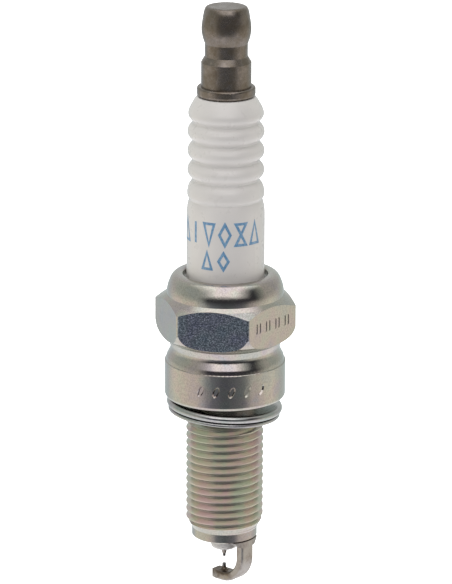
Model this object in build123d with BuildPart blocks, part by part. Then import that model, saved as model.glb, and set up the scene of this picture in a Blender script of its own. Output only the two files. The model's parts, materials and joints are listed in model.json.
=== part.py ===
from build123d import *
import os
from math import cos, radians, sin, tan

# Spark plug: M10 x 1.0 thread, 19 mm reach, 16 mm hexagon, solid terminal, needle electrodes.
# Millimetres. +Z runs along the plug's axis towards the terminal, z = 0 is the shell's seat face,
# and +X points at the root of the ground electrode and squarely out of one of the six flats.

# ---- driving dimensions -------------------------------------------------------------------

# Half the height of the bands that pick out an edge or a corner by its position
NEAR = 0.01

# Shell: thread and firing end
THREAD_PITCH = 1.0
THREAD_CREST_R = 4.98
THREAD_DEPTH = 0.613 * THREAD_PITCH
THREAD_ROOT_FLAT = THREAD_PITCH / 6
THREAD_FLANK_ANGLE = 30.0
THREAD_OVERRUN = 1.2 * THREAD_PITCH
THREAD_MOUTH_CLEAR = 0.01
THREAD_CUT_CLEAR = 0.3
THREAD_START_ANGLE = -172.0
THREAD_TOP_Z = -2.85
THREAD_END_Z = -16.4
UNDERCUT_R = 4.28
PILOT_R = 4.22
PILOT_TOP_Z = -17.8
REACH = 19.0
PILOT_EDGE = 0.15

# Shell: body
BARREL_R = 7.74
BARREL_TOP_Z = 4.85
BARREL_CORNER = 0.5
BARREL_EDGE = 0.1
FLARE_R = 7.62
FLARE_SHOULDER_R = 7.5
FLARE_SHOULDER_Z = 5.4
FLARE_WAIST_R = 7.08
FLARE_WAIST_Z = 6.25
GROOVE_R = 7.02
GROOVE_MIDDLE_Z = 6.7
GROOVE_TOP_R = 7.28
GROOVE_TOP_Z = 7.55
GROOVE_TANGENTS = [(-0.2, 1), (0.25, 1)]
HEX_ACROSS_FLATS = 16.0
HEX_EDGE_ROUNDING = 0.5
HEX_TOP_R = 9.22
HEX_TOP_Z = 12.4
HEX_WAIST_R = 9.07
HEX_WAIST_Z = 9.4
HEX_CURVE_R = 8.68
HEX_CURVE_Z = 8.6
HEX_FOOT_R = 8.0
HEX_FOOT_Z = 8.06
HEX_TURNED_TANGENTS = [(1, 0.55), (0, 1)]
LIP_BASE_R = 7.5
LIP_BASE_Z = 13.65
LIP_BULGE_R = 7.16
LIP_BULGE_Z = 15.33
LIP_TOP_Z = 16.38
LIP_CREST_R = 5.85
LIP_OPENING_R = 5.38
LIP_INNER_ROUNDING = 0.3

# Shell: bores
FIRING_BORE_R = 3.2
RIDGE_R = 2.85
RIDGE_BOTTOM_Z = -10.4
RIDGE_TOP_Z = -9.5
SHANK_BORE_R = 3.72
SHANK_BORE_TOP_Z = 0.6
BODY_BORE_R = 6.0
BODY_BORE_BOTTOM_Z = 2.9

# Shell: stamped marks
OVAL_MARK_DEPTH = 0.2
OVAL_MARK_TAPER = -40.0
OVAL_MARK_COUNT = 5
OVAL_MARK_STEP = 15.0
OVAL_MARK_START = -72.0
OVAL_MARK_Z = 2.6
OVAL_MARK_LENGTH = 1.2
OVAL_MARK_WIDTH = 0.42
OVAL_MARK_SLANT = -24.0
BAR_MARK_DEPTH = 0.08
BAR_MARK_COUNT = 4
BAR_MARK_STEP = 1.8
BAR_PAIR_STEP = 0.62
BAR_MARK_Y = 0.0
BAR_MARK_Z = 11.0
BAR_MARK_LENGTH = 1.4
BAR_MARK_WIDTH = 0.3

# Insulator
INSULATOR_TOP_Z = 39.4
INSULATOR_TOP_R = 3.7
INSULATOR_BARREL_R = 4.98
SHOULDER_SLOPE_R = 4.27
SHOULDER_SLOPE_Z = 38.57
SHOULDER_R = 4.75
SHOULDER_Z = 36.95
SHOULDER_TANGENTS = [(1, -1), (-1, -0.55)]
RIB_CREST_R = 4.88
RIB_CREST_DROP = 1.36
RIB_TANGENTS = [(1, -0.6), (-1, -0.6)]
RIB_GROOVE_R = 4.02
RIB_PITCH = 2.49
RIB_COUNT = 4
FIRST_GROOVE_Z = 36.15
RIB_GROOVE_ROUNDING = 0.3
LAST_GROOVE_R = 4.58
RIBS_END_Z = 24.0
RIBS_END_TANGENTS = [(0.55, -1), (0, -1)]
COLLAR_R = 5.85
COLLAR_TOP_Z = 9.9
COLLAR_BOTTOM_Z = 3.4
SHANK_R = 3.62
NOSE_BASE_R = 2.45
NOSE_TIP_R = 1.72
NOSE_END_Z = -20.85
NOSE_ROUNDING = 0.5
STUD_BORE_R = 1.6
ELECTRODE_BORE_R = 0.95
ELECTRODE_STEP_Z = -7.0

# Terminal stud
TERMINAL_TOP_Z = 50.95
TERMINAL_TOP_R = 2.15
TERMINAL_EDGE_R = 2.74
TERMINAL_EDGE_Z = 50.57
TERMINAL_BULB_R = 3.14
TERMINAL_BULB_Z = 48.2
TERMINAL_SHOULDER_R = 2.98
TERMINAL_SHOULDER_Z = 49.5
TERMINAL_BULB_TANGENTS = [(0.42, 1), (-1, 0)]
TERMINAL_NECK_R = 2.71
TERMINAL_NECK_TOP_Z = 46.2
TERMINAL_NECK_BOTTOM_Z = 44.6
TERMINAL_POST_R = 3.18
TERMINAL_POST_TOP_Z = 43.8
TERMINAL_FLANGE_R = 3.71
TERMINAL_FLANGE_TOP_Z = 40.7
TERMINAL_FLANGE_ROUNDING = 0.28
TERMINAL_FLANGE_UNDER_ROUNDING = 0.45
STUD_R = 1.5
STUD_END_Z = 5.6
STUD_RING_COUNT = 6
STUD_RING_STEP = 0.5
STUD_RING_DEPTH = 0.18

# Conductor stack in the insulator's bore
SEAL_TOP_Z = 9.4
RESISTOR_TOP_Z = 4.4
RESISTOR_BOTTOM_Z = -2.6
ELECTRODE_HEAD_TOP_Z = -5.6

# Packings between shell and insulator
PACKING_RING_HEIGHT = 0.9
PACKING_RING_ROUNDING = 0.3
UPPER_PACKING_TOP_Z = 15.6
LOWER_PACKING_BOTTOM_Z = 10.85
SEAT_PACKING_THICKNESS = 0.25
SEAT_PACKING_INSET = 0.08

# Centre electrode
HEAD_NECK_R = 1.1
HEAD_NECK_HEIGHT = 0.5
CORE_R = 0.55
CORE_TOP_Z = -7.4
CORE_END_Z = -19.2
CENTRE_BODY_END_Z = -20.9
CENTRE_SHOULDER_Z = -21.15
CENTRE_SHOULDER_R = 0.4
CENTRE_CONE_END_Z = -21.65
CENTRE_CONE_END_R = 0.28
CENTRE_TIP_R = 0.2
CENTRE_TIP_END_Z = -22.1
TIP_INSET = 0.3
BEAD_HEIGHT = 0.1

# Ground electrode
SPARK_GAP = 1.0
STRAP_WIDTH = 2.2
STRAP_THICKNESS = 1.15
STRAP_OUTER_X = 4.1
STRAP_TOP_FACE_Z = -24.0
STRAP_EDGE = 0.3
STRAP_BEND_R = 3.1
STRAP_FREE_END_X = -1.6
STRAP_TAPER_X = -0.3
STRAP_FREE_END_WIDTH = 1.2
STRAP_END_ROUNDING = 0.2
GROUND_TIP_R = 0.25
PEDESTAL_BASE_R = 0.72
PEDESTAL_WAIST_R = 0.38
PEDESTAL_WAIST_HEIGHT = 0.17
PEDESTAL_HEIGHT = 0.5
WELD_BEAD_R = 4.3
WELD_BEAD_DROP = 0.85
WELD_BEAD_SPREAD = 1.15
WELD_BEAD_EDGE = 0.03

# Gasket: one steel strip folded into three layers, hanging loose and leaning
GASKET_OUTER_R = 7.45
GASKET_INNER_R = 4.8
GASKET_STRIP = 0.46
GASKET_FOLD_GAP = 0.1
GASKET_LOWER_INSET = 0.25
GASKET_STRIP_ROUNDING = 0.18
GASKET_CONTACT_R = 6.9
GASKET_CLEARANCE = 0.28
GASKET_LEAN = 3.8
GASKET_DOWNHILL = 48.0

# ---- worked-out dimensions ----------------------------------------------------------------

HEX_FLAT_R = HEX_ACROSS_FLATS / 2
HEX_CORNER_R = HEX_FLAT_R / cos(radians(30))
THREAD_ROOT_R = THREAD_CREST_R - THREAD_DEPTH
PILOT_END_Z = -REACH
STRAP_BOTTOM_Z = STRAP_TOP_FACE_Z - STRAP_THICKNESS
GROUND_TIP_END_Z = CENTRE_TIP_END_Z - SPARK_GAP
LOWER_RING_TOP_Z = LOWER_PACKING_BOTTOM_Z + PACKING_RING_HEIGHT
UPPER_RING_BOTTOM_Z = UPPER_PACKING_TOP_Z - PACKING_RING_HEIGHT
HEAD_FLANGE_TOP_Z = ELECTRODE_HEAD_TOP_Z - HEAD_NECK_HEIGHT
SEAT_STEP_TOP_Z = RIDGE_TOP_Z + SEAT_PACKING_THICKNESS + (SHANK_R - RIDGE_R)
NOSE_BASE_Z = SEAT_STEP_TOP_Z - (SHANK_R - NOSE_BASE_R)


# ---- helpers ------------------------------------------------------------------------------

def save(part, name):
    """Label a finished piece and write it as its own file."""
    part.label = name
    export_step(part, f"parts/{name}.step")


def ring(inner_r, outer_r, bottom_z, top_z, rounding=0.0):
    """A plain ring about the plug's axis, its section's corners rounded if asked."""
    with BuildPart() as made:
        with BuildSketch(Plane.XZ) as section:
            with Locations(((inner_r + outer_r) / 2, (bottom_z + top_z) / 2)):
                Rectangle(outer_r - inner_r, top_z - bottom_z)
            if rounding:
                fillet(section.vertices(), radius=rounding)
        revolve(axis=Axis.Z)
    return made.part


# ---- terminal stud: solid post, flange, long shank and a ringed end held in glass ----------

def make_terminal_stud():
    with BuildPart() as terminal_stud:
        with BuildSketch(Plane.XZ) as section:
            with BuildLine():
                head = Polyline(
                    (0, STUD_END_Z),
                    (STUD_R, STUD_END_Z),
                    (STUD_R, INSULATOR_TOP_Z),
                    (TERMINAL_FLANGE_R, INSULATOR_TOP_Z),
                    (TERMINAL_FLANGE_R, TERMINAL_FLANGE_TOP_Z),
                    (TERMINAL_POST_R, TERMINAL_FLANGE_TOP_Z),
                    (TERMINAL_POST_R, TERMINAL_POST_TOP_Z),
                    (TERMINAL_NECK_R, TERMINAL_NECK_BOTTOM_Z),
                    (TERMINAL_NECK_R, TERMINAL_NECK_TOP_Z),
                )
                bulb = Spline(
                    head @ 1,
                    (TERMINAL_BULB_R, TERMINAL_BULB_Z),
                    (TERMINAL_SHOULDER_R, TERMINAL_SHOULDER_Z),
                    (TERMINAL_EDGE_R, TERMINAL_EDGE_Z),
                    (TERMINAL_TOP_R, TERMINAL_TOP_Z),
                    tangents=TERMINAL_BULB_TANGENTS,
                )
                Polyline(bulb @ 1, (0, TERMINAL_TOP_Z), head @ 0)
            make_face()
            flange_edge = section.vertices().filter_by_position(
                Axis.Y, TERMINAL_FLANGE_TOP_Z - NEAR, TERMINAL_FLANGE_TOP_Z + NEAR
            ).sort_by(Axis.X)[-1]
            fillet(flange_edge, radius=TERMINAL_FLANGE_ROUNDING)
            flange_underside = section.vertices().filter_by_position(
                Axis.Y, INSULATOR_TOP_Z - NEAR, INSULATOR_TOP_Z + NEAR
            ).sort_by(Axis.X)[-1]
            fillet(flange_underside, radius=TERMINAL_FLANGE_UNDER_ROUNDING)
        revolve(axis=Axis.Z)
        with BuildSketch(Plane.XZ):
            for i in range(STUD_RING_COUNT):
                with Locations((STUD_R, STUD_END_Z + STUD_RING_STEP * (i + 1))):
                    RegularPolygon(STUD_RING_DEPTH, 4, rotation=45)
        revolve(axis=Axis.Z, mode=Mode.SUBTRACT)
    save(terminal_stud.part, "terminal_stud")
    return terminal_stud.part


# ---- insulator: ribbed neck, printed barrel, collar, shank and nose -------------------------

def make_insulator():
    with BuildPart() as insulator:
        with BuildSketch(Plane.XZ) as section:
            with BuildLine():
                top = Line((STUD_BORE_R, INSULATOR_TOP_Z), (INSULATOR_TOP_R, INSULATOR_TOP_Z))
                shoulder = Spline(
                    top @ 1,
                    (SHOULDER_SLOPE_R, SHOULDER_SLOPE_Z),
                    (SHOULDER_R, SHOULDER_Z),
                    (RIB_GROOVE_R, FIRST_GROOVE_Z),
                    tangents=SHOULDER_TANGENTS,
                )
                last = shoulder
                for i in range(RIB_COUNT):
                    groove_r = LAST_GROOVE_R if i == RIB_COUNT - 1 else RIB_GROOVE_R
                    groove_z = FIRST_GROOVE_Z - RIB_PITCH * (i + 1)
                    last = Spline(
                        last @ 1,
                        (RIB_CREST_R, groove_z + RIB_PITCH - RIB_CREST_DROP),
                        (groove_r, groove_z),
                        tangents=RIB_TANGENTS,
                    )
                ease = Spline(
                    last @ 1,
                    (INSULATOR_BARREL_R, RIBS_END_Z),
                    tangents=RIBS_END_TANGENTS,
                )
                Polyline(
                    ease @ 1,
                    (INSULATOR_BARREL_R, COLLAR_TOP_Z + (COLLAR_R - INSULATOR_BARREL_R)),
                    (COLLAR_R, COLLAR_TOP_Z),
                    (COLLAR_R, COLLAR_BOTTOM_Z),
                    (SHANK_R, COLLAR_BOTTOM_Z - (COLLAR_R - SHANK_R)),
                    (SHANK_R, SEAT_STEP_TOP_Z),
                    (NOSE_BASE_R, NOSE_BASE_Z),
                    (NOSE_TIP_R, NOSE_END_Z),
                    (ELECTRODE_BORE_R, NOSE_END_Z),
                    (ELECTRODE_BORE_R, ELECTRODE_STEP_Z - (STUD_BORE_R - ELECTRODE_BORE_R)),
                    (STUD_BORE_R, ELECTRODE_STEP_Z),
                    top @ 0,
                )
            make_face()
            grooves = section.vertices().filter_by_position(
                Axis.Y, FIRST_GROOVE_Z - RIB_PITCH * RIB_COUNT - NEAR, FIRST_GROOVE_Z + NEAR
            )
            fillet(grooves, radius=RIB_GROOVE_ROUNDING)
            nose_corner = section.vertices().group_by(Axis.Y)[0].sort_by(Axis.X)[-1]
            fillet(nose_corner, radius=NOSE_ROUNDING)
        revolve(axis=Axis.Z)
    save(insulator.part, "insulator")


# ---- metal shell ----------------------------------------------------------------------------

def thread_groove():
    """The helical groove of the thread, a little longer than the land that it is cut from."""
    start_z = PILOT_TOP_Z - THREAD_OVERRUN
    height = THREAD_TOP_Z - PILOT_TOP_Z + 2 * THREAD_OVERRUN
    mouth_r = THREAD_CREST_R + THREAD_MOUTH_CLEAR
    outside_r = THREAD_CREST_R + THREAD_CUT_CLEAR
    half_root = THREAD_ROOT_FLAT / 2
    half_mouth = half_root + (mouth_r - THREAD_ROOT_R) * tan(radians(THREAD_FLANK_ANGLE))
    with BuildPart() as groove:
        with BuildLine():
            path = Helix(THREAD_PITCH, height, THREAD_CREST_R, center=(0, 0, start_z))
        with BuildSketch(Plane.XZ):
            with BuildLine():
                Polyline(
                    (THREAD_ROOT_R, start_z - half_root),
                    (mouth_r, start_z - half_mouth),
                    (outside_r, start_z - half_mouth),
                    (outside_r, start_z + half_mouth),
                    (mouth_r, start_z + half_mouth),
                    (THREAD_ROOT_R, start_z + half_root),
                    close=True,
                )
            make_face()
        sweep(path=path, is_frenet=True)
    return groove.part


def threaded_land():
    """The threaded length of the shell, coned at both ends, turned to where its thread starts."""
    groove = thread_groove()
    with BuildPart() as land:
        with BuildSketch(Plane.XY.offset(PILOT_TOP_Z)):
            Circle(THREAD_CREST_R)
        extrude(amount=THREAD_TOP_Z - PILOT_TOP_Z)
        add(groove, mode=Mode.SUBTRACT)
        with BuildSketch(Plane.XZ):
            with BuildLine():
                Polyline(
                    (0, PILOT_TOP_Z),
                    (PILOT_R, PILOT_TOP_Z),
                    (THREAD_CREST_R, THREAD_END_Z),
                    (HEX_CORNER_R, THREAD_END_Z),
                    (HEX_CORNER_R, THREAD_TOP_Z - (THREAD_CREST_R - UNDERCUT_R)),
                    (THREAD_CREST_R, THREAD_TOP_Z - (THREAD_CREST_R - UNDERCUT_R)),
                    (UNDERCUT_R, THREAD_TOP_Z),
                    (0, THREAD_TOP_Z),
                    close=True,
                )
            make_face()
        revolve(axis=Axis.Z, mode=Mode.INTERSECT)
    return land.part.rotate(Axis.Z, THREAD_START_ANGLE)


def shell_outline():
    """The lip, groove, barrel, undercut and pilot, turned about the axis without their bore."""
    with BuildPart() as outline:
        with BuildSketch(Plane.XZ) as section:
            with BuildLine():
                base = Polyline(
                    (0, PILOT_END_Z),
                    (PILOT_R - PILOT_EDGE, PILOT_END_Z),
                    (PILOT_R, PILOT_END_Z + PILOT_EDGE),
                    (PILOT_R, THREAD_END_Z),
                    (UNDERCUT_R, THREAD_END_Z),
                    (UNDERCUT_R, 0),
                    (BARREL_R, 0),
                    (BARREL_R, BARREL_TOP_Z),
                    (FLARE_R, BARREL_TOP_Z),
                )
                groove = Spline(
                    base @ 1,
                    (FLARE_SHOULDER_R, FLARE_SHOULDER_Z),
                    (FLARE_WAIST_R, FLARE_WAIST_Z),
                    (GROOVE_R, GROOVE_MIDDLE_Z),
                    (GROOVE_TOP_R, GROOVE_TOP_Z),
                    tangents=GROOVE_TANGENTS,
                )
                waist = Polyline(
                    groove @ 1,
                    (GROOVE_TOP_R, HEX_FOOT_Z),
                    (LIP_BASE_R, HEX_FOOT_Z),
                    (LIP_BASE_R, LIP_BASE_Z),
                )
                lip = Spline(
                    waist @ 1,
                    (LIP_BULGE_R, LIP_BULGE_Z),
                    (LIP_CREST_R, LIP_TOP_Z),
                    tangents=[(0, 1), (-1, 0)],
                )
                Polyline(lip @ 1, (0, LIP_TOP_Z), base @ 0)
            make_face()
            seat_corner = section.vertices().filter_by_position(Axis.Y, -NEAR, NEAR).sort_by(Axis.X)[-1]
            fillet(seat_corner, radius=BARREL_CORNER)
            barrel_edge = section.vertices().filter_by_position(
                Axis.Y, BARREL_TOP_Z - NEAR, BARREL_TOP_Z + NEAR
            ).sort_by(Axis.X)[-1]
            fillet(barrel_edge, radius=BARREL_EDGE)
        revolve(axis=Axis.Z)
    return outline.part


def hexagon():
    """The hexagon, its corners turned to a long curve that runs in to the groove and the lip."""
    with BuildPart() as made:
        with BuildSketch(Plane.XY.offset(GROOVE_TOP_Z)) as flats:
            RegularPolygon(HEX_FLAT_R, 6, major_radius=False, rotation=30)
            fillet(flats.vertices(), radius=HEX_EDGE_ROUNDING)
        extrude(amount=LIP_BASE_Z - GROOVE_TOP_Z)
        with BuildSketch(Plane.XZ):
            with BuildLine():
                turned = Spline(
                    (GROOVE_TOP_R, GROOVE_TOP_Z),
                    (HEX_FOOT_R, HEX_FOOT_Z),
                    (HEX_CURVE_R, HEX_CURVE_Z),
                    (HEX_WAIST_R, HEX_WAIST_Z),
                    (HEX_TOP_R, HEX_TOP_Z),
                    tangents=HEX_TURNED_TANGENTS,
                )
                Polyline(
                    turned @ 1,
                    (LIP_BASE_R, LIP_BASE_Z),
                    (0, LIP_BASE_Z),
                    (0, GROOVE_TOP_Z),
                    turned @ 0,
                )
            make_face()
        revolve(axis=Axis.Z, mode=Mode.INTERSECT)
    return made.part


def shell_bore():
    """Everything that is open inside the shell, from the firing end up through the crimped lip."""
    with BuildPart() as bore:
        with BuildSketch(Plane.XZ):
            with BuildLine():
                Polyline(
                    (0, PILOT_END_Z),
                    (FIRING_BORE_R, PILOT_END_Z),
                    (FIRING_BORE_R, RIDGE_BOTTOM_Z - (FIRING_BORE_R - RIDGE_R)),
                    (RIDGE_R, RIDGE_BOTTOM_Z),
                    (RIDGE_R, RIDGE_TOP_Z),
                    (SHANK_BORE_R, RIDGE_TOP_Z + (SHANK_BORE_R - RIDGE_R)),
                    (SHANK_BORE_R, SHANK_BORE_TOP_Z),
                    (BODY_BORE_R, BODY_BORE_BOTTOM_Z),
                    (BODY_BORE_R, UPPER_PACKING_TOP_Z),
                    (LIP_OPENING_R, UPPER_PACKING_TOP_Z),
                    (LIP_OPENING_R, LIP_TOP_Z),
                    (0, LIP_TOP_Z),
                    close=True,
                )
            make_face()
        revolve(axis=Axis.Z)
    return bore.part


def oval_marks():
    """Slanted oval dimples in a row round the barrel: a plain pattern in place of a stamping."""
    floor_r = BARREL_R - OVAL_MARK_DEPTH
    with BuildPart() as marks:
        for i in range(OVAL_MARK_COUNT):
            angle = radians(OVAL_MARK_START + OVAL_MARK_STEP * i)
            face = Plane(
                origin=(floor_r * cos(angle), floor_r * sin(angle), OVAL_MARK_Z),
                x_dir=(-sin(angle), cos(angle), 0),
                z_dir=(cos(angle), sin(angle), 0),
            )
            with BuildSketch(face):
                Ellipse(OVAL_MARK_WIDTH / 2, OVAL_MARK_LENGTH / 2, rotation=OVAL_MARK_SLANT)
            extrude(amount=2 * OVAL_MARK_DEPTH, taper=OVAL_MARK_TAPER)
    return marks.part


def bar_marks():
    """Pairs of short upright bars in a row on the flat above the ground electrode."""
    with BuildPart() as marks:
        with BuildSketch(Plane.YZ.offset(HEX_FLAT_R - BAR_MARK_DEPTH)):
            with Locations((BAR_MARK_Y, BAR_MARK_Z)):
                with GridLocations(BAR_MARK_STEP, 1, BAR_MARK_COUNT, 1):
                    with GridLocations(BAR_PAIR_STEP, 1, 2, 1):
                        SlotOverall(BAR_MARK_LENGTH, BAR_MARK_WIDTH, rotation=90)
        extrude(amount=2 * BAR_MARK_DEPTH)
    return marks.part


def make_metal_shell():
    outline = shell_outline()
    land = threaded_land()
    hex_body = hexagon()
    bore = shell_bore()
    ovals = oval_marks()
    bars = bar_marks()
    with BuildPart() as metal_shell:
        add(outline)
        add(hex_body)
        add(land)
        add(bore, mode=Mode.SUBTRACT)
        add(ovals, mode=Mode.SUBTRACT)
        add(bars, mode=Mode.SUBTRACT)
        lip_rim = metal_shell.edges().filter_by(GeomType.CIRCLE).filter_by_position(
            Axis.Z, LIP_TOP_Z - NEAR, LIP_TOP_Z + NEAR
        ).sort_by(SortBy.RADIUS)[0]
        fillet(lip_rim, radius=LIP_INNER_ROUNDING)
    save(metal_shell.part, "metal_shell")


# ---- packings between the shell and the insulator -------------------------------------------

def make_packings():
    upper_ring = ring(
        INSULATOR_BARREL_R, BODY_BORE_R, UPPER_RING_BOTTOM_Z, UPPER_PACKING_TOP_Z, PACKING_RING_ROUNDING
    )
    save(upper_ring, "upper_packing_ring")
    lower_ring = ring(
        INSULATOR_BARREL_R, BODY_BORE_R, LOWER_PACKING_BOTTOM_Z, LOWER_RING_TOP_Z, PACKING_RING_ROUNDING
    )
    save(lower_ring, "lower_packing_ring")
    talc = ring(INSULATOR_BARREL_R, BODY_BORE_R, LOWER_RING_TOP_Z, UPPER_RING_BOTTOM_Z)
    save(talc, "talc_filling")

    with BuildPart() as seat_packing:
        with BuildSketch(Plane.XZ):
            with BuildLine():
                inner = RIDGE_R + SEAT_PACKING_INSET
                outer = SHANK_R - SEAT_PACKING_INSET
                Polyline(
                    (inner, RIDGE_TOP_Z + inner - RIDGE_R),
                    (outer, RIDGE_TOP_Z + outer - RIDGE_R),
                    (outer, RIDGE_TOP_Z + outer - RIDGE_R + SEAT_PACKING_THICKNESS),
                    (inner, RIDGE_TOP_Z + inner - RIDGE_R + SEAT_PACKING_THICKNESS),
                    close=True,
                )
            make_face()
        revolve(axis=Axis.Z)
    save(seat_packing.part, "seat_packing")


# ---- conductor stack in the insulator's bore: glass, resistor, glass ------------------------

def make_conductor_stack(terminal_stud):
    with BuildPart() as upper_glass_seal:
        with BuildSketch(Plane.XY.offset(RESISTOR_TOP_Z)):
            Circle(STUD_BORE_R)
        extrude(amount=SEAL_TOP_Z - RESISTOR_TOP_Z)
        add(terminal_stud, mode=Mode.SUBTRACT)
    save(upper_glass_seal.part, "upper_glass_seal")

    with BuildPart() as resistor:
        with BuildSketch(Plane.XY.offset(RESISTOR_BOTTOM_Z)):
            Circle(STUD_BORE_R)
        extrude(amount=RESISTOR_TOP_Z - RESISTOR_BOTTOM_Z)
    save(resistor.part, "resistor")

    with BuildPart() as lower_glass_seal:
        with BuildSketch(Plane.XY.offset(HEAD_FLANGE_TOP_Z)):
            Circle(STUD_BORE_R)
        extrude(amount=RESISTOR_BOTTOM_Z - HEAD_FLANGE_TOP_Z)
        with BuildSketch(Plane.XY.offset(HEAD_FLANGE_TOP_Z)):
            Circle(HEAD_NECK_R)
        extrude(amount=HEAD_NECK_HEIGHT, mode=Mode.SUBTRACT)
    save(lower_glass_seal.part, "lower_glass_seal")


# ---- centre electrode: nickel sheath, copper core, welded needle ----------------------------

def make_centre_electrode():
    with BuildPart() as core:
        with BuildSketch(Plane.XY.offset(CORE_END_Z)):
            Circle(CORE_R)
        extrude(amount=CORE_TOP_Z - CORE_END_Z)
    save(core.part, "centre_electrode_core")

    with BuildPart() as centre_tip:
        with BuildSketch(Plane.XY.offset(CENTRE_TIP_END_Z)):
            Circle(CENTRE_TIP_R)
        extrude(amount=CENTRE_CONE_END_Z + TIP_INSET - CENTRE_TIP_END_Z)
    save(centre_tip.part, "centre_tip")

    with BuildPart() as centre_electrode:
        with BuildSketch(Plane.XZ):
            with BuildLine():
                Polyline(
                    (0, ELECTRODE_HEAD_TOP_Z),
                    (HEAD_NECK_R, ELECTRODE_HEAD_TOP_Z),
                    (HEAD_NECK_R, HEAD_FLANGE_TOP_Z),
                    (STUD_R, HEAD_FLANGE_TOP_Z),
                    (STUD_R, ELECTRODE_STEP_Z - (STUD_BORE_R - STUD_R)),
                    (ELECTRODE_BORE_R, ELECTRODE_STEP_Z - (STUD_BORE_R - ELECTRODE_BORE_R)),
                    (ELECTRODE_BORE_R, CENTRE_BODY_END_Z),
                    (CENTRE_SHOULDER_R, CENTRE_SHOULDER_Z),
                    (CENTRE_CONE_END_R, CENTRE_CONE_END_Z),
                    (0, CENTRE_CONE_END_Z),
                    close=True,
                )
            make_face()
        revolve(axis=Axis.Z)
        add(core.part, mode=Mode.SUBTRACT)
        add(centre_tip.part, mode=Mode.SUBTRACT)
    save(centre_electrode.part, "centre_electrode")

    with BuildPart() as bead:
        with BuildSketch(Plane.XZ):
            with BuildLine():
                flat = Polyline(
                    (CENTRE_TIP_R, CENTRE_CONE_END_Z - BEAD_HEIGHT),
                    (CENTRE_TIP_R, CENTRE_CONE_END_Z),
                    (CENTRE_CONE_END_R, CENTRE_CONE_END_Z),
                )
                RadiusArc(flat @ 1, flat @ 0, BEAD_HEIGHT)
            make_face()
        revolve(axis=Axis.Z)
    save(bead.part, "centre_tip_weld")


# ---- ground electrode: bent strap, weld bead, pedestal and needle ---------------------------

def make_ground_electrode():
    middle_x = STRAP_OUTER_X - STRAP_THICKNESS / 2
    middle_z = STRAP_TOP_FACE_Z - STRAP_THICKNESS / 2
    with BuildPart() as ground_electrode:
        with BuildLine():
            path = FilletPolyline(
                (middle_x, 0, PILOT_END_Z),
                (middle_x, 0, middle_z),
                (STRAP_FREE_END_X, 0, middle_z),
                radius=STRAP_BEND_R,
            )
        with BuildSketch(Plane.XY.offset(PILOT_END_Z)):
            with Locations((middle_x, 0)):
                RectangleRounded(STRAP_THICKNESS, STRAP_WIDTH, STRAP_EDGE)
        sweep(path=path)
        with BuildSketch(Plane.XY.offset(STRAP_BOTTOM_Z)):
            with BuildLine():
                Polyline(
                    (STRAP_FREE_END_X, -STRAP_FREE_END_WIDTH / 2),
                    (STRAP_TAPER_X, -STRAP_WIDTH / 2),
                    (STRAP_OUTER_X, -STRAP_WIDTH / 2),
                    (STRAP_OUTER_X, STRAP_WIDTH / 2),
                    (STRAP_TAPER_X, STRAP_WIDTH / 2),
                    (STRAP_FREE_END_X, STRAP_FREE_END_WIDTH / 2),
                    close=True,
                )
            make_face()
        extrude(amount=PILOT_END_Z - STRAP_BOTTOM_Z, mode=Mode.INTERSECT)
        free_end = ground_electrode.faces().sort_by(Axis.X)[0]
        fillet(free_end.edges(), radius=STRAP_END_ROUNDING)
    save(ground_electrode.part, "ground_electrode")

    bead_end_z = PILOT_END_Z - WELD_BEAD_DROP
    with BuildPart() as weld_bead:
        for z, spread in ((PILOT_END_Z, WELD_BEAD_SPREAD), (bead_end_z, WELD_BEAD_EDGE)):
            with BuildSketch(Plane.XY.offset(z)):
                with Locations((middle_x, 0)):
                    RectangleRounded(STRAP_THICKNESS + 2 * spread, STRAP_WIDTH + 2 * spread, STRAP_EDGE)
        loft()
        with BuildSketch(Plane.XY.offset(bead_end_z)):
            Circle(WELD_BEAD_R)
            Circle(FIRING_BORE_R, mode=Mode.SUBTRACT)
        extrude(amount=WELD_BEAD_DROP, mode=Mode.INTERSECT)
        add(ground_electrode.part, mode=Mode.SUBTRACT)
    save(weld_bead.part, "ground_weld_bead")

    with BuildPart() as pedestal:
        with BuildSketch(Plane.XZ):
            with BuildLine():
                flare = ThreePointArc(
                    (PEDESTAL_BASE_R, STRAP_TOP_FACE_Z),
                    (PEDESTAL_WAIST_R, STRAP_TOP_FACE_Z + PEDESTAL_WAIST_HEIGHT),
                    (GROUND_TIP_R, STRAP_TOP_FACE_Z + PEDESTAL_HEIGHT),
                )
                Polyline(
                    flare @ 1,
                    (0, STRAP_TOP_FACE_Z + PEDESTAL_HEIGHT),
                    (0, STRAP_TOP_FACE_Z),
                    flare @ 0,
                )
            make_face()
        revolve(axis=Axis.Z)
        add(ground_electrode.part, mode=Mode.SUBTRACT)
    save(pedestal.part, "ground_tip_pedestal")

    with BuildPart() as ground_tip:
        with BuildSketch(Plane.XY.offset(STRAP_TOP_FACE_Z + PEDESTAL_HEIGHT)):
            Circle(GROUND_TIP_R)
        extrude(amount=GROUND_TIP_END_Z - STRAP_TOP_FACE_Z - PEDESTAL_HEIGHT)
    save(ground_tip.part, "ground_tip")


# ---- gasket ---------------------------------------------------------------------------------

def gasket_section_plane():
    """The plane that holds the leaning gasket's section: x outwards and uphill, y along its axis."""
    lean = radians(GASKET_LEAN)
    downhill = Vector(1, 0, 0).rotate(Axis.Z, GASKET_DOWNHILL)
    pivot = downhill * -GASKET_CONTACT_R + Vector(0, 0, -GASKET_CLEARANCE)
    uphill = downhill * -cos(lean) + Vector(0, 0, sin(lean))
    axis = downhill * sin(lean) + Vector(0, 0, cos(lean))
    return Plane(origin=pivot - uphill * GASKET_CONTACT_R, x_dir=uphill, z_dir=uphill.cross(axis))


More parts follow.
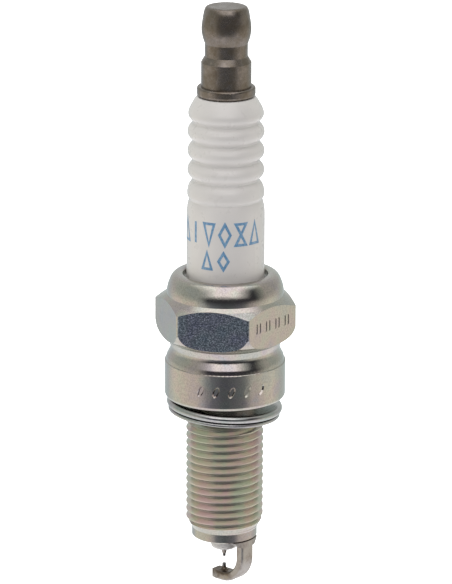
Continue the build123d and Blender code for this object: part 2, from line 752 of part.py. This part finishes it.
def make_gasket():
    section_plane = gasket_section_plane()
    layer_pitch = GASKET_STRIP + GASKET_FOLD_GAP
    fold_r = (layer_pitch + GASKET_STRIP) / 2
    layers = (
        (GASKET_INNER_R, GASKET_OUTER_R - fold_r),
        (GASKET_INNER_R + fold_r, GASKET_OUTER_R - fold_r),
        (GASKET_INNER_R + fold_r, GASKET_OUTER_R - GASKET_LOWER_INSET),
    )
    with BuildPart() as gasket:
        with BuildSketch(section_plane) as section:
            for i, (inner_r, outer_r) in enumerate(layers):
                with Locations((inner_r, -GASKET_STRIP - i * layer_pitch)):
                    Rectangle(outer_r - inner_r, GASKET_STRIP, align=(Align.MIN, Align.MIN))
            with Locations((GASKET_OUTER_R - fold_r, -fold_r)):
                Circle(fold_r)
            with Locations((GASKET_INNER_R + fold_r, -fold_r - layer_pitch)):
                Circle(fold_r)
            strip_ends = section.vertices().group_by(Axis.X)[0] + section.vertices().filter_by_position(
                Axis.X, layers[2][1] - NEAR, layers[2][1] + NEAR
            )
            fillet(strip_ends, radius=GASKET_STRIP_ROUNDING)
        revolve(axis=Axis(section_plane.origin, section_plane.y_dir))
    save(gasket.part, "gasket")


os.makedirs("parts", exist_ok=True)
stud = make_terminal_stud()
make_insulator()
make_metal_shell()
make_packings()
make_conductor_stack(stud)
make_centre_electrode()
make_ground_electrode()
make_gasket()
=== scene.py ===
import json
from math import cos, pi, radians, sin

import bmesh
import bpy
from mathutils import Matrix, Vector


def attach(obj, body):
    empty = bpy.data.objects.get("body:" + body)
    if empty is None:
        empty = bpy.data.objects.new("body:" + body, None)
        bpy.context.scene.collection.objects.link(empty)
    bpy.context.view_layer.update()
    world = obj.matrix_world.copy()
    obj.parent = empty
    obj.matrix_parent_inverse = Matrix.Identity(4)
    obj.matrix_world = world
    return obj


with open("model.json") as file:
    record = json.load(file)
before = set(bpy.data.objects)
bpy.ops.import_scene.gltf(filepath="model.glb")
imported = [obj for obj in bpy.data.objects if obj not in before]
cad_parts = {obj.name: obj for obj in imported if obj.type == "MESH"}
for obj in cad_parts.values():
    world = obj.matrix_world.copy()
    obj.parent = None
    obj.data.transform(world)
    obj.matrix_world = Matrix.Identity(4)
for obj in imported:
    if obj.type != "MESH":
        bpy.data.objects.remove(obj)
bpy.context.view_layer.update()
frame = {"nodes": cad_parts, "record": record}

# A spark plug hanging over a pale floor. Metres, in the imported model's frame: +Z is the plug's
# axis towards the terminal and z = 0 is the shell's seat face.
MM = 0.001
nodes = frame["nodes"]

# ---- camera --------------------------------------------------------------------------------------

# The azimuth is measured from -Y towards +X
CAMERA_AZIMUTH = radians(41.5)
CAMERA_ELEVATION = radians(16.5)
CAMERA_ROLL = radians(0.245)
CAMERA_DISTANCE = 500 * MM
CAMERA_TARGET = Vector((0, 0, 13.67 * MM))
CAMERA_SIDESTEP = 0.083 * MM
CAMERA_LENS = 241.6
CLIP_NEAR = 0.01
CLIP_FAR = 20


def toward_camera():
    """The direction from the target to the camera."""
    return Vector((
        sin(CAMERA_AZIMUTH) * cos(CAMERA_ELEVATION),
        -cos(CAMERA_AZIMUTH) * cos(CAMERA_ELEVATION),
        sin(CAMERA_ELEVATION),
    ))


def make_camera():
    """The camera: in front of the plug, a little above it and rolled by a hair."""
    data = bpy.data.cameras.new("camera")
    data.lens = CAMERA_LENS
    data.clip_start = CLIP_NEAR
    data.clip_end = CLIP_FAR
    camera = bpy.data.objects.new("camera", data)
    bpy.context.scene.collection.objects.link(camera)
    back = toward_camera()
    turn = (-back).to_track_quat("-Z", "Y").to_matrix() @ Matrix.Rotation(CAMERA_ROLL, 3, "Z")
    right = turn @ Vector((1, 0, 0))
    camera.matrix_world = turn.to_4x4()
    camera.location = CAMERA_TARGET + back * CAMERA_DISTANCE + right * CAMERA_SIDESTEP
    bpy.context.scene.camera = camera


# ---- node helpers --------------------------------------------------------------------------------

def new_material(name, base=(0.8, 0.8, 0.8), metallic=0.0, roughness=0.5, **more):
    """A material with only a Principled shader; more sets its other inputs, with _ for a space."""
    material = bpy.data.materials.new(name)
    material.use_nodes = True
    tree = material.node_tree
    tree.nodes.clear()
    output = tree.nodes.new("ShaderNodeOutputMaterial")
    shader = tree.nodes.new("ShaderNodeBsdfPrincipled")
    tree.links.new(shader.outputs["BSDF"], output.inputs["Surface"])
    shader.inputs["Base Color"].default_value = (*base, 1)
    shader.inputs["Metallic"].default_value = metallic
    shader.inputs["Roughness"].default_value = roughness
    for socket, value in more.items():
        shader.inputs[socket.replace("_", " ")].default_value = value
    return tree, shader


def link(tree, output, target):
    """Join an output socket to an input socket."""
    tree.links.new(output, target)


def coordinates(tree, stretch=(1, 1, 1)):
    """Object coordinates in metres, stretched by a factor along each axis."""
    coordinate = tree.nodes.new("ShaderNodeTexCoord")
    mapping = tree.nodes.new("ShaderNodeMapping")
    mapping.inputs["Scale"].default_value = stretch
    link(tree, coordinate.outputs["Object"], mapping.inputs["Vector"])
    return mapping.outputs["Vector"]


def noise(tree, vector, feature_mm, detail=2.0, roughness=0.5):
    """Noise whose blobs are about feature_mm across."""
    node = tree.nodes.new("ShaderNodeTexNoise")
    node.inputs["Scale"].default_value = 1 / (feature_mm * MM)
    node.inputs["Detail"].default_value = detail
    node.inputs["Roughness"].default_value = roughness
    link(tree, vector, node.inputs["Vector"])
    return node.outputs["Fac"]


def ramp(tree, factor, stops):
    """A colour ramp; each stop is (position, (r, g, b)) or (position, value)."""
    node = tree.nodes.new("ShaderNodeValToRGB")
    elements = node.color_ramp.elements
    while len(elements) < len(stops):
        elements.new(0.5)
    for element, (position, colour) in zip(elements, stops):
        if not isinstance(colour, tuple):
            colour = (colour, colour, colour)
        element.position = position
        element.color = (*colour, 1)
    link(tree, factor, node.inputs["Fac"])
    return node.outputs["Color"]


def mix(tree, factor, first, second, blend="MIX"):
    """Blend two colours. Each is a socket or a plain (r, g, b); the factor is a socket or a number."""
    node = tree.nodes.new("ShaderNodeMix")
    node.data_type = "RGBA"
    node.blend_type = blend
    for name, value in (("Factor_Float", factor), ("A_Color", first), ("B_Color", second)):
        socket = next(s for s in node.inputs if s.identifier == name)
        if isinstance(value, bpy.types.NodeSocket):
            link(tree, value, socket)
        elif isinstance(value, tuple):
            socket.default_value = (*value, 1)
        else:
            socket.default_value = value
    return next(s for s in node.outputs if s.identifier == "Result_Color")


def maths(tree, operation, *values):
    """One maths node; each value is a socket or a number."""
    node = tree.nodes.new("ShaderNodeMath")
    node.operation = operation
    for socket, value in zip(node.inputs, values):
        if isinstance(value, bpy.types.NodeSocket):
            link(tree, value, socket)
        else:
            socket.default_value = value
    return node.outputs["Value"]


def dot(tree, vector, direction):
    """How far a vector points along a fixed direction."""
    node = tree.nodes.new("ShaderNodeVectorMath")
    node.operation = "DOT_PRODUCT"
    node.inputs[1].default_value = direction
    link(tree, vector, node.inputs[0])
    return node.outputs["Value"]


def bump(tree, shader, height, depth_mm):
    """Bump on the shader's normal; several calls stack."""
    node = tree.nodes.new("ShaderNodeBump")
    node.inputs["Strength"].default_value = 1.0
    node.inputs["Distance"].default_value = depth_mm * MM
    link(tree, height, node.inputs["Height"])
    normal = shader.inputs["Normal"]
    if normal.is_linked:
        link(tree, normal.links[0].from_socket, node.inputs["Normal"])
    link(tree, node.outputs["Normal"], normal)


# ---- studio floor --------------------------------------------------------------------------------

FLOOR_Z = -70 * MM
FLOOR_R = 4.0
FLOOR_SEGMENTS = 96


def make_floor():
    """A plain white disc well below the plug; it neither lights the plug nor shows in it."""
    mesh = bpy.data.meshes.new("floor")
    shape = bmesh.new()
    bmesh.ops.create_circle(shape, cap_ends=True, segments=FLOOR_SEGMENTS, radius=FLOOR_R)
    bmesh.ops.translate(shape, verts=shape.verts, vec=(0, 0, FLOOR_Z))
    shape.to_mesh(mesh)
    shape.free()
    floor = bpy.data.objects.new("floor", mesh)
    bpy.context.scene.collection.objects.link(floor)
    floor.visible_glossy = False
    floor.visible_diffuse = False
    _, shader = new_material("floor_white", base=(0.92, 0.92, 0.92), roughness=0.9)
    shader.inputs["Emission Color"].default_value = (1, 1, 1, 1)
    shader.inputs["Emission Strength"].default_value = 1.0
    mesh.materials.append(bpy.data.materials["floor_white"])


# ---- room light ----------------------------------------------------------------------------------

def at(degrees):
    """An angle from the front in degrees as a place on a ramp that runs once round."""
    return degrees / 360 + 0.5


def rising(degrees):
    """An elevation in degrees as a place on the height ramps."""
    return sin(radians(degrees)) * 0.5 + 0.5


# The walls at each bearing from the front, which grows towards the camera's right: dark in front of the
# plug, light at its sides. Low walls light what faces sideways or down, high walls what faces a little up
LOW_RING = [
    (at(-180), (0.38, 0.42, 0.43)),
    (at(-140), (0.42, 0.45, 0.47)),
    (at(-112), (0.64, 0.61, 0.53)),
    (at(-57), (0.56, 0.52, 0.46)),
    (at(-43), (0.40, 0.39, 0.38)),
    (at(-28), (0.14, 0.15, 0.17)),
    (at(0), (0.07, 0.08, 0.09)),
    (at(26), (0.11, 0.12, 0.13)),
    (at(38), (0.16, 0.165, 0.17)),
    (at(55), (0.44, 0.42, 0.39)),
    (at(100), (0.64, 0.60, 0.52)),
    (at(131), (0.44, 0.46, 0.45)),
    (at(180), (0.38, 0.42, 0.43)),
]
HIGH_RING = [
    (at(-180), (0.46, 0.47, 0.47)),
    (at(-90), (0.34, 0.35, 0.32)),
    (at(-55), (0.33, 0.33, 0.30)),
    (at(-34), (0.03, 0.03, 0.035)),
    (at(62), (0.03, 0.03, 0.035)),
    (at(88), (0.33, 0.33, 0.30)),
    (at(120), (0.34, 0.35, 0.32)),
    (at(180), (0.46, 0.47, 0.47)),
]
LOW_TO_HIGH = [(rising(-12), 0.0), (rising(6), 1.0)]
TABLE_RADIANCE = (0.74, 0.73, 0.73)
TABLE_TO_LOW = [(rising(-34), 0.0), (rising(-22), 1.0)]

# The soft box: from low in front of the plug over the top to a little behind it. Its length is an angle
# from level in front through the zenith; its width is an angle out to either side
SOFT_BOX_RADIANCE = (0.94, 0.92, 0.91)
SOFT_BOX_LENGTH = [(at(16), 0.0), (at(25), 1.0), (at(100), 1.0), (at(112), 0.0)]
SOFT_BOX_WIDTH = [(sin(radians(18)), 1.0), (sin(radians(50)), 0.0)]

ROOM_STRENGTH = 1.57


def once_round(tree, across, ahead):
    """The angle of a direction from straight ahead, as a place on a ramp that runs once round."""
    angle = maths(tree, "ARCTAN2", across, ahead)
    return maths(tree, "MULTIPLY_ADD", angle, 1 / (2 * pi), 0.5)


def make_room():
    """A room of soft light with a dark patch in front of the plug and a soft box over it."""
    world = bpy.data.worlds.new("room")
    bpy.context.scene.world = world
    world.use_nodes = True
    tree = world.node_tree
    tree.nodes.clear()
    output = tree.nodes.new("ShaderNodeOutputWorld")
    background = tree.nodes.new("ShaderNodeBackground")
    link(tree, background.outputs["Background"], output.inputs["Surface"])
    direction = tree.nodes.new("ShaderNodeTexCoord").outputs["Generated"]

    front = dot(tree, direction, (sin(CAMERA_AZIMUTH), -cos(CAMERA_AZIMUTH), 0))
    side = dot(tree, direction, (cos(CAMERA_AZIMUTH), sin(CAMERA_AZIMUTH), 0))
    height = dot(tree, direction, (0, 0, 1))
    level = maths(tree, "MULTIPLY_ADD", height, 0.5, 0.5)
    around = once_round(tree, side, front)
    arch = once_round(tree, height, front)

    low_walls = ramp(tree, around, LOW_RING)
    high_walls = ramp(tree, around, HIGH_RING)
    walls = mix(tree, ramp(tree, level, LOW_TO_HIGH), low_walls, high_walls)
    room = mix(tree, ramp(tree, level, TABLE_TO_LOW), TABLE_RADIANCE, walls)
    length = ramp(tree, arch, SOFT_BOX_LENGTH)
    width = ramp(tree, maths(tree, "ABSOLUTE", side), SOFT_BOX_WIDTH)
    lit = maths(tree, "MULTIPLY", length, width)
    link(tree, mix(tree, lit, room, SOFT_BOX_RADIANCE), background.inputs["Color"])
    background.inputs["Strength"].default_value = ROOM_STRENGTH


# ---- finishes ------------------------------------------------------------------------------------

# Tints of the passivated film, as (place on the noise ramp, colour)
SHELL_TINTS = [
    (0.32, (0.46, 0.47, 0.45)),
    (0.44, (0.50, 0.49, 0.44)),
    (0.54, (0.52, 0.47, 0.44)),
    (0.64, (0.49, 0.44, 0.45)),
    (0.74, (0.43, 0.45, 0.47)),
]
GASKET_TINTS = [
    (0.36, (0.40, 0.44, 0.43)),
    (0.52, (0.47, 0.47, 0.47)),
    (0.66, (0.47, 0.45, 0.48)),
]
THREAD_TINTS = [
    (0.36, (0.58, 0.61, 0.50)),
    (0.50, (0.65, 0.59, 0.50)),
    (0.62, (0.67, 0.55, 0.53)),
]

# Painted sheen: the colour painted in where the surface turns away from the viewer, standing in for a
# greenish reflection at the silhouettes
RIM_SHEEN_TINT = (0.38, 0.41, 0.36)

# The thread is rougher than the turned faces, and by THREAD_MATT less like bare metal
THREAD_ROUGHNESS = (0.22, 0.22, 0.22)
THREAD_MATT = 0.32

# The tint of a flat seen squarely is multiplied by these, from its darkest grains to its brightest: the
# grain is the flats' real frosting, the darkening and the blue are a painted reflection of the dark
# surroundings in front
FROST_AND_REFLECTION = [
    (0.38, (0.24, 0.30, 0.40)),
    (0.50, (0.50, 0.60, 0.76)),
    (0.62, (0.95, 1.10, 1.35)),
]

# Where the flats and the thread are on the shell, in millimetres: distances from the axis and heights
# above the seat, each from the first number to the second
FLATS_R = (7.95, 12)
FLATS_Z = (8.1, 13.2)
THREAD_R = (4.27, 5.05)
THREAD_Z = (-17.0, -2.7)
THREAD_ROOT_R = 4.3


def facing(tree):
    """0 where a surface faces the viewer, rising to 1 where it turns away."""
    node = tree.nodes.new("ShaderNodeLayerWeight")
    node.inputs["Blend"].default_value = 0.5
    return node.outputs["Facing"]


def place_on_plug(tree, vector):
    """The distance from the plug's axis and the height above its seat, in millimetres."""
    parts = tree.nodes.new("ShaderNodeSeparateXYZ")
    link(tree, vector, parts.inputs[0])
    square = maths(tree, "MULTIPLY", parts.outputs["X"], parts.outputs["X"])
    square = maths(tree, "MULTIPLY_ADD", parts.outputs["Y"], parts.outputs["Y"], square)
    r = maths(tree, "DIVIDE", maths(tree, "SQRT", square), MM)
    return r, maths(tree, "DIVIDE", parts.outputs["Z"], MM)


def window(tree, value, span):
    """1 where a value lies between the two ends of a span, else 0."""
    low, high = span
    past_low = maths(tree, "GREATER_THAN", value, low)
    short_of_high = maths(tree, "LESS_THAN", value, high)
    return maths(tree, "MULTIPLY", past_low, short_of_high)


def frosted_flats_and_painted_reflection(tree, shader, vector, flats, tint, rough):
    """The hexagon's flats are coarser than the turned faces: a frosted grain, with a painted reflection
    of the dark surroundings in front that darkens and blues them in grains where looked at squarely.
    """
    coarse = noise(tree, vector, feature_mm=0.17, detail=3.0, roughness=0.7)
    rough = mix(tree, flats, rough, ramp(tree, coarse, [(0.4, 0.12), (0.6, 0.2)]))
    bump(tree, shader, maths(tree, "MULTIPLY", coarse, flats), depth_mm=0.024)
    # Painted reflection: only where a flat faces the viewer is its tint darkened and turned blue in
    # grains
    square_on = ramp(tree, facing(tree), [(0.10, 1.0), (0.30, 0.0)])
    frost_and_reflection = mix(tree, 1.0, tint, ramp(tree, coarse, FROST_AND_REFLECTION), "MULTIPLY")
    return mix(tree, maths(tree, "MULTIPLY", flats, square_on), tint, frost_and_reflection), rough


def banded_thread(tree, shader, thread, r, tint, rough):
    """On the thread the film is duller and runs in bands of green and pink; its roots are painted darker,
    as painted shade in the hollows.
    """
    bands = ramp(tree, noise(tree, coordinates(tree, (1, 1, 0.25)), feature_mm=2.2), THREAD_TINTS)
    depth = maths(tree, "SUBTRACT", r, THREAD_ROOT_R)
    # Painted shade: the tint is darkened towards the thread's root radius
    root_shade = ramp(tree, depth, [(0.065, 0.55), (0.10, 1.0)])
    tint = mix(tree, thread, tint, mix(tree, 1.0, bands, root_shade, "MULTIPLY"))
    rough = mix(tree, thread, rough, THREAD_ROUGHNESS)
    link(tree, maths(tree, "MULTIPLY_ADD", thread, -THREAD_MATT, 1.0), shader.inputs["Metallic"])
    return tint, rough


def zinc_plate(name, tints, roughness):
    """Bright zinc under a thin passivated film: straw, pink and green, finely speckled and turned, with a
    painted sheen at its silhouettes, a painted reflection on the flats and painted shade in the thread's
    roots.
    """
    tree, shader = new_material(name, metallic=1.0, roughness=roughness)
    vector = coordinates(tree)
    tint = ramp(tree, noise(tree, vector, feature_mm=3.0, detail=3.0, roughness=0.55), tints)
    speckle = noise(tree, vector, feature_mm=0.2, detail=3.0, roughness=0.65)
    tint = mix(tree, 1.0, tint, ramp(tree, speckle, [(0.34, 0.82), (0.60, 1.0)]), "MULTIPLY")
    rough = ramp(tree, speckle, [(0.3, roughness * 1.5), (0.65, roughness * 0.8)])

    r, z = place_on_plug(tree, vector)
    flats = maths(tree, "MULTIPLY", window(tree, r, FLATS_R), window(tree, z, FLATS_Z))
    tint, rough = frosted_flats_and_painted_reflection(tree, shader, vector, flats, tint, rough)
    thread = maths(tree, "MULTIPLY", window(tree, r, THREAD_R), window(tree, z, THREAD_Z))
    tint, rough = banded_thread(tree, shader, thread, r, tint, rough)

    # Painted sheen: the base colour turns towards the greenish tint where the surface turns away from the
    # viewer
    edge = ramp(tree, facing(tree), [(0.55, 0.0), (0.95, 0.8)])
    link(tree, mix(tree, edge, tint, RIM_SHEEN_TINT), shader.inputs["Base Color"])
    link(tree, rough, shader.inputs["Roughness"])
    bump(tree, shader, speckle, depth_mm=0.005)
    turning = noise(tree, coordinates(tree, (0.04, 0.04, 1)), feature_mm=0.07)
    bump(tree, shader, turning, depth_mm=0.0012)
    bump(tree, shader, noise(tree, vector, feature_mm=1.6), depth_mm=0.010)


def glazed_ceramic():
    """White alumina under clear glaze, faintly clouded, with the odd fine speck."""
    tree, shader = new_material("glazed_ceramic", roughness=0.3, Coat_Weight=0.7, Coat_Roughness=0.14)
    vector = coordinates(tree)
    cloud = noise(tree, vector, feature_mm=5.0, detail=3.0)
    body = ramp(tree, cloud, [(0.3, (0.79, 0.77, 0.755)), (0.7, (0.85, 0.83, 0.815))])
    speck = ramp(tree, noise(tree, vector, feature_mm=0.35, detail=1.0), [(0.76, 0.0), (0.82, 0.3)])
    link(tree, mix(tree, speck, body, (0.45, 0.40, 0.34)), shader.inputs["Base Color"])
    ripple = noise(tree, vector, feature_mm=1.0, detail=2.0)
    link(tree, ramp(tree, ripple, [(0.3, 0.26), (0.7, 0.36)]), shader.inputs["Roughness"])
    bump(tree, shader, ripple, depth_mm=0.006)


def terminal_steel():
    """Dull steel, brown with age, worn brighter in streaks."""
    tree, shader = new_material("terminal_steel", metallic=0.8, roughness=0.28)
    vector = coordinates(tree)
    cloud = noise(tree, vector, feature_mm=1.3, detail=4.0, roughness=0.65)
    tint = ramp(tree, cloud, [
        (0.32, (0.16, 0.13, 0.10)),
        (0.48, (0.21, 0.18, 0.15)),
        (0.60, (0.24, 0.21, 0.19)),
        (0.74, (0.34, 0.29, 0.25)),
    ])
    blotch = noise(tree, vector, feature_mm=0.5, detail=4.0, roughness=0.7)
    rust = ramp(tree, blotch, [(0.60, 0.0), (0.72, 0.4)])
    tint = mix(tree, rust, tint, (0.16, 0.08, 0.04))
    fleck = noise(tree, vector, feature_mm=0.22, detail=3.0)
    tint = mix(tree, 1.0, tint, ramp(tree, fleck, [(0.3, 0.82), (0.7, 1.0)]), "MULTIPLY")
    link(tree, tint, shader.inputs["Base Color"])
    link(tree, ramp(tree, cloud, [(0.3, 0.34), (0.7, 0.22)]), shader.inputs["Roughness"])
    bump(tree, shader, fleck, depth_mm=0.003)
    turning = noise(tree, coordinates(tree, (0.05, 0.05, 1)), feature_mm=0.1, detail=2.0)
    bump(tree, shader, turning, depth_mm=0.003)


# The burnt part of the ground electrode, in millimetres. Depths are below the seat, from where a change
# begins to where it ends; the arm's reach is from the plug's axis towards the strap's root. SPARK_SIDE is
# the way that burnt faces look: up and in towards the axis
BURNT_START = (20.8, 22.6)
BURNT_EDGE = (24.4, 24.8)
BURNT_EDGE_WANDER = 1.0
BURNT_REACH = 2.2
DEPTH_SPAN = 100
SPARK_SIDE = (-0.5, 0, 0.85)


def at_depth(depth_mm):
    """A depth below the seat in millimetres as a place on the depth ramps."""
    return depth_mm / DEPTH_SPAN


def toward_spark(tree):
    """1 on faces that look up or in towards the plug's axis, 0 on the rest, soft between."""
    normal = tree.nodes.new("ShaderNodeTexCoord").outputs["Normal"]
    return ramp(tree, dot(tree, normal, SPARK_SIDE), [(0.25, 0.0), (0.45, 1.0)])


def nickel_alloy():
    """Matt nickel alloy, burnt brown low down: the faces turned to the spark and their edge."""
    tree, shader = new_material("nickel_alloy", metallic=1.0, roughness=0.34)
    vector = coordinates(tree)
    cloud = noise(tree, vector, feature_mm=0.9, detail=4.0, roughness=0.6)
    clean = ramp(tree, cloud, [
        (0.34, (0.34, 0.30, 0.28)),
        (0.50, (0.45, 0.42, 0.40)),
        (0.66, (0.47, 0.45, 0.43)),
        (0.76, (0.42, 0.36, 0.28)),
    ])
    burnt = ramp(tree, cloud, [
        (0.34, (0.10, 0.08, 0.06)),
        (0.55, (0.18, 0.14, 0.11)),
        (0.72, (0.31, 0.26, 0.19)),
    ])
    parts = tree.nodes.new("ShaderNodeSeparateXYZ")
    link(tree, vector, parts.inputs[0])
    depth = maths(tree, "DIVIDE", parts.outputs["Z"], -DEPTH_SPAN * MM)
    low = ramp(tree, depth, [(at_depth(BURNT_START[0]), 0.0), (at_depth(BURNT_START[1]), 1.0)])
    centred = maths(tree, "SUBTRACT", cloud, 0.5)
    wandering = maths(tree, "MULTIPLY_ADD", centred, at_depth(BURNT_EDGE_WANDER), depth)
    edge = ramp(tree, wandering, [(at_depth(BURNT_EDGE[0]), 1.0), (at_depth(BURNT_EDGE[1]), 0.0)])
    reach = maths(tree, "DIVIDE", parts.outputs["X"], BURNT_REACH * MM)
    arm = ramp(tree, reach, [(0.7, 1.0), (1.0, 0.0)])
    seared = maths(tree, "MAXIMUM", toward_spark(tree), maths(tree, "MULTIPLY", edge, arm))
    tint = mix(tree, maths(tree, "MULTIPLY", low, seared), clean, burnt)
    grain = noise(tree, coordinates(tree, (1, 1, 0.22)), feature_mm=0.1, detail=3.0)
    tint = mix(tree, 1.0, tint, ramp(tree, grain, [(0.3, 0.78), (0.7, 1.0)]), "MULTIPLY")
    link(tree, tint, shader.inputs["Base Color"])
    link(tree, ramp(tree, grain, [(0.3, 0.26), (0.7, 0.42)]), shader.inputs["Roughness"])
    bump(tree, shader, grain, depth_mm=0.004)


def printing_ink():
    """Blue ink fired into the glaze, thin in places."""
    tree, shader = new_material("printing_ink", roughness=0.3, Coat_Weight=0.4, Coat_Roughness=0.12)
    cover = noise(tree, coordinates(tree), feature_mm=0.3, detail=3.0)
    colour = ramp(tree, cover, [(0.35, (0.13, 0.30, 0.52)), (0.7, (0.27, 0.46, 0.68))])
    link(tree, colour, shader.inputs["Base Color"])
    bump(tree, shader, cover, depth_mm=0.003)


def plain_finish(name, colour, metallic, roughness, feature_mm):
    """A finish with modest mottling, for the small and the hidden pieces."""
    tree, shader = new_material(name, metallic=metallic, roughness=roughness)
    cloud = noise(tree, coordinates(tree), feature_mm, detail=3.0)
    dark = tuple(c * 0.8 for c in colour)
    light = tuple(min(1, c * 1.12) for c in colour)
    link(tree, ramp(tree, cloud, [(0.3, dark), (0.7, light)]), shader.inputs["Base Color"])
    rough = ramp(tree, cloud, [(0.3, roughness * 0.85), (0.7, roughness * 1.2)])
    link(tree, rough, shader.inputs["Roughness"])
    bump(tree, shader, cloud, depth_mm=0.01)


def zinc_plated_steel():
    """The shell's plating."""
    zinc_plate("zinc_plated_steel", SHELL_TINTS, roughness=0.12)


def gasket_steel():
    """The gasket's plating, a little greyer and duller."""
    zinc_plate("gasket_steel", GASKET_TINTS, roughness=0.14)


def iridium():
    """Dark grey metal of the two needles."""
    plain_finish("iridium", (0.22, 0.21, 0.21), metallic=1.0, roughness=0.4, feature_mm=0.15)


def copper():
    """The core of the centre electrode."""
    plain_finish("copper", (0.72, 0.40, 0.27), metallic=1.0, roughness=0.35, feature_mm=0.6)


def packing_steel():
    """The packing rings inside the shell."""
    plain_finish("packing_steel", (0.5, 0.5, 0.5), metallic=1.0, roughness=0.4, feature_mm=0.6)


def seal_glass():
    """The black conductive glass above and below the resistor."""
    plain_finish("seal_glass", (0.10, 0.10, 0.10), metallic=0.0, roughness=0.3, feature_mm=0.6)


def resistor_carbon():
    """The resistor's matt black."""
    plain_finish("resistor_carbon", (0.05, 0.05, 0.05), metallic=0.0, roughness=0.7, feature_mm=0.4)


def talc():
    """Pressed powder, off-white."""
    plain_finish("talc", (0.85, 0.84, 0.80), metallic=0.0, roughness=0.9, feature_mm=0.5)


def make_finishes():
    """Make every finish, named after the material slot it is for, and the ink; returns them by name."""
    zinc_plated_steel()
    gasket_steel()
    glazed_ceramic()
    printing_ink()
    terminal_steel()
    nickel_alloy()
    iridium()
    copper()
    packing_steel()
    seal_glass()
    resistor_carbon()
    talc()
    return {material.name: material for material in bpy.data.materials}


def dress_nodes(finishes):
    """Give every CAD node the finish named by its material slot in the record."""
    slots = {s["node"]: s["material_slot"] for s in frame["record"]["subparts"]}
    for name, node in nodes.items():
        node.data.materials.clear()
        node.data.materials.append(finishes[slots[name]])


# ---- printing on the insulator: plain shapes without a meaning -----------------------------------

# In millimetres and degrees. A mark is (width, height), and the bearings of a row are the angle from +X
# to its first mark and the angle from mark to mark. MITRE_LIMIT keeps sharp corners from running out
BARREL_R = 4.98
PRINT_LIFT = 0.012
PRINT_SINK = 0.03
STROKE_WIDTH = 0.34
STROKE_STEP = 0.12
UPPER_ROW_Z = 22.55
UPPER_MARK = (1.4, 2.75)
LOWER_ROW_Z = 19.1
LOWER_MARK = (1.25, 2.15)
UPPER_BEARINGS = (-121.5, 24)
LOWER_BEARINGS = (-76.5, 25)
MITRE_LIMIT = 0.45
SAME_POINT = 1e-6


def lozenge(width, height):
    """A diamond outline."""
    return [(0, height / 2), (width / 2, 0), (0, -height / 2), (-width / 2, 0), (0, height / 2)]


def hourglass(width, height):
    """Two triangles that meet at their points."""
    x, y = width / 2, height / 2
    return [(-x, y), (x, y), (-x, -y), (x, -y), (-x, y)]


def triangle(width, height):
    """A tall triangle outline, point up."""
    x, y = width / 2, height / 2
    return [(-x, -y), (0, y), (x, -y), (-x, -y)]


def bar(height):
    """A single upright stroke."""
    return [(0, height / 2), (0, -height / 2)]


def ribbon_edges(points):
    """The left and right edges of a stroke along the points, mitred at its corners."""
    runs = [Vector(b) - Vector(a) for a, b in zip(points, points[1:])]
    sides = [Vector((-run.y, run.x)).normalized() for run in runs]
    closed = (Vector(points[0]) - Vector(points[-1])).length < SAME_POINT
    left, right = [], []
    for i, point in enumerate(points):
        before = sides[i - 1] if i > 0 or closed else sides[0]
        after = sides[i] if i < len(sides) else (sides[0] if closed else sides[-1])
        mitre = (before + after).normalized()
        reach = STROKE_WIDTH / 2 / max(MITRE_LIMIT, mitre.dot(after))
        left.append(Vector(point) + mitre * reach)
        right.append(Vector(point) - mitre * reach)
    return left, right


def on_barrel(across, up, bearing, row_z, lift):
    """A point of a mark, wrapped round the insulator's barrel."""
    angle = radians(bearing) + across / BARREL_R
    r = BARREL_R + lift
    return (r * cos(angle) * MM, r * sin(angle) * MM, (row_z + up) * MM)


def add_stroke(shape, points, bearing, row_z):
    """A thin solid stroke, proud of the glaze by the ink's thickness and sunk a little into it."""
    left, right = ribbon_edges(points)
    for i in range(len(points) - 1):
        steps = max(1, round((left[i + 1] - left[i]).length / STROKE_STEP))
        rows = []
        for k in range(steps + 1):
            a = left[i].lerp(left[i + 1], k / steps)
            b = right[i].lerp(right[i + 1], k / steps)
            rows.append([
                shape.verts.new(on_barrel(p.x, p.y, bearing, row_z, lift))
                for p, lift in ((a, -PRINT_SINK), (a, PRINT_LIFT), (b, PRINT_LIFT), (b, -PRINT_SINK))
            ])
        for near, far in zip(rows, rows[1:]):
            for k in range(4):
                shape.faces.new((near[k], near[(k + 1) % 4], far[(k + 1) % 4], far[k]))
        shape.faces.new(rows[0])
        shape.faces.new(reversed(rows[-1]))


def make_printing(name, ink, outlines, row_z, bearings):
    """One row of marks round the barrel, as one piece that goes with the insulator."""
    first_bearing, step = bearings
    shape = bmesh.new()
    for i, points in enumerate(outlines):
        add_stroke(shape, points, first_bearing + step * i, row_z)
    bmesh.ops.recalc_face_normals(shape, faces=shape.faces)
    mesh = bpy.data.meshes.new(name)
    shape.to_mesh(mesh)
    shape.free()
    mesh.materials.append(ink)
    piece = bpy.data.objects.new(name, mesh)
    bpy.context.scene.collection.objects.link(piece)
    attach(piece, "plug")


def make_insulator_printing(ink):
    """Two rows of plain shapes where such a plug has its printing."""
    width, height = UPPER_MARK
    upper = [
        triangle(width, height),
        bar(height),
        triangle(width, -height),
        lozenge(width, height),
        hourglass(width, height),
        triangle(width, height),
    ]
    make_printing("insulator_print_upper", ink, upper, UPPER_ROW_Z, UPPER_BEARINGS)
    lower = [triangle(*LOWER_MARK), lozenge(*LOWER_MARK)]
    make_printing("insulator_print_lower", ink, lower, LOWER_ROW_Z, LOWER_BEARINGS)


# ---- put together --------------------------------------------------------------------------------

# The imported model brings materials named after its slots; they make way for the finishes made here
for packed in list(bpy.data.materials):
    packed.name = "packed_" + packed.name

make_camera()
make_floor()
make_room()
finishes = make_finishes()
dress_nodes(finishes)
make_insulator_printing(finishes["printing_ink"])
bpy.context.scene.view_settings.view_transform = "Standard"
